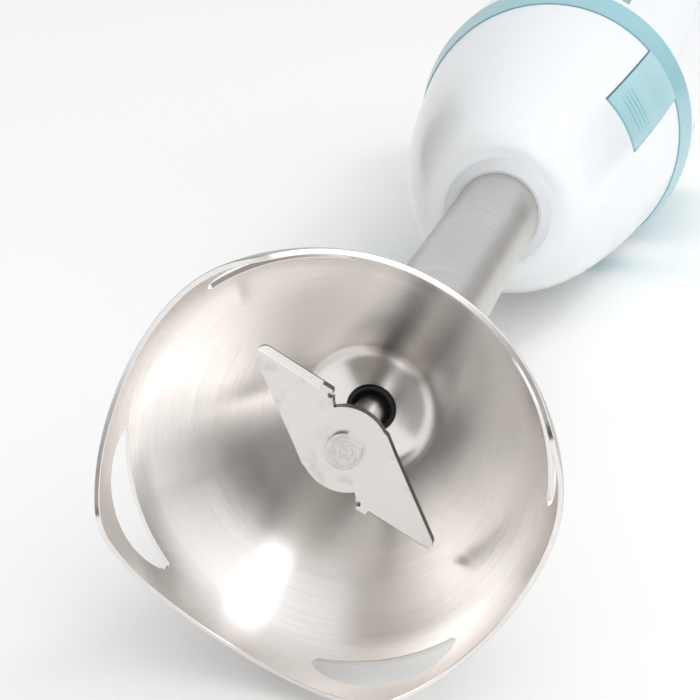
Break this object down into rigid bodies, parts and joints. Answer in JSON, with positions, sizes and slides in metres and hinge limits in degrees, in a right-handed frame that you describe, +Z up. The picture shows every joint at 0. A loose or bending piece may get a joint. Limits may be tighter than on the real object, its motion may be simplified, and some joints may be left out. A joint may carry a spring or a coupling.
{
  "type": "immersion blender",
  "caption": "Immersion blender on its side: scalloped steel bell with a flat blade, steel tube, white egg-shaped coupling cone, and motor handle with aqua ring, release buttons and switches.",
  "frame": {"origin": "under the middle of the blender's length, on the surface that it lies on", "axes": "+Y along the tool axis from the bell to the rear cap, +Z up, +X to the right when looking along +Y"},
  "size_m": [0.069, 0.3918, 0.069],
  "materials": {
    "steel_bell": "spun stainless steel, brushed in circles inside",
    "steel_tube": "satin stainless tube",
    "steel_blade": "stamped stainless sheet with a ground edge",
    "polished_steel": "polished steel",
    "seal_rubber": "black lip seal",
    "bronze": "sintered bronze",
    "white_plastic": "glossy white plastic",
    "collar_plastic": "light grey plastic",
    "aqua_ring": "glossy aqua plastic",
    "aqua_light": "pale aqua plastic",
    "aqua_rubber": "soft aqua rubber",
    "panel_plastic": "pale grey plastic",
    "dark_plastic": "glass-filled black plastic",
    "copper": "enamelled copper wire",
    "laminations": "stacked iron laminations",
    "carbon": "pressed carbon",
    "board_green": "circuit board"
  },
  "bodies": {
    "handle": {"motor_core": "laminations", "field_coils": "copper", "front_bracket": "dark_plastic", "rear_bracket": "dark_plastic", "front_bearing": "bronze", "rear_bearing": "bronze", "brush_holders": "dark_plastic", "carbon_brushes": "carbon", "motor_screws": "polished_steel", "housing_front": "white_plastic", "housing_back": "white_plastic", "housing_screws": "polished_steel", "band_ring": "aqua_ring", "soft_grip": "aqua_rubber", "release_spring_right": "polished_steel", "release_spring_left": "polished_steel", "control_panel": "panel_plastic", "power_spring": "polished_steel", "turbo_spring": "polished_steel", "switch_board": "board_green", "micro_switches": "dark_plastic", "rear_cap": "white_plastic", "speed_control": "dark_plastic", "cord_gland": "collar_plastic"},
    "foot": {"bell": "steel_bell", "shaft_seal": "seal_rubber", "lower_bush": "bronze", "upper_bush": "bronze", "foot_tube": "steel_tube", "tube_collar": "collar_plastic", "coupling_cone": "white_plastic"},
    "blade_drive": {"drive_shaft": "polished_steel", "blade": "steel_blade", "driven_coupler": "dark_plastic"},
    "rotor": {"motor_shaft": "polished_steel", "armature": "laminations", "commutator": "copper", "cooling_fan": "dark_plastic", "drive_coupler": "dark_plastic"},
    "right_release": {"release_button_right": "aqua_light"},
    "left_release": {"release_button_left": "aqua_light"},
    "power_key": {"power_button": "aqua_ring"},
    "turbo_key": {"turbo_button": "white_plastic"},
    "dial": {"speed_dial": "aqua_ring"}
  },
  "joints": [
    {"name": "foot_release", "type": "slide", "parent": "handle", "child": "foot", "axis": [0, -1, 0], "range_m": [0, 0.045]},
    {"name": "motor_spin", "type": "hinge", "parent": "handle", "child": "rotor", "pos_m": [0, 0, 0.0345], "axis": [0, 1, 0], "continuous": true},
    {"name": "blade_spin", "type": "hinge", "parent": "foot", "child": "blade_drive", "pos_m": [0, 0, 0.0345], "axis": [0, 1, 0], "continuous": true},
    {"name": "right_release_press", "type": "slide", "parent": "handle", "child": "right_release", "axis": [-0.866, 0, -0.5], "range_m": [0, 0.002], "stiffness_N_per_m": 700, "springref_m": -0.002, "deforming": ["release_spring_right"]},
    {"name": "left_release_press", "type": "slide", "parent": "handle", "child": "left_release", "axis": [0.866, 0, 0.5], "range_m": [0, 0.002], "stiffness_N_per_m": 700, "springref_m": -0.002, "deforming": ["release_spring_left"]},
    {"name": "power_press", "type": "slide", "parent": "handle", "child": "power_key", "axis": [0.5, 0, -0.866], "range_m": [0, 0.0016], "stiffness_N_per_m": 500, "springref_m": -0.002, "deforming": ["power_spring"]},
    {"name": "turbo_press", "type": "slide", "parent": "handle", "child": "turbo_key", "axis": [0.5, 0, -0.866], "range_m": [0, 0.0016], "stiffness_N_per_m": 500, "springref_m": -0.002, "deforming": ["turbo_spring"]},
    {"name": "speed_turn", "type": "hinge", "parent": "handle", "child": "dial", "pos_m": [-0.004, 0.1919, 0.04143], "axis": [0, 1, 0], "range_deg": [0, 270]}
  ],
  "couplings": [
    {"joint": "blade_spin", "follows": "motor_spin", "ratio": 1}
  ]
}
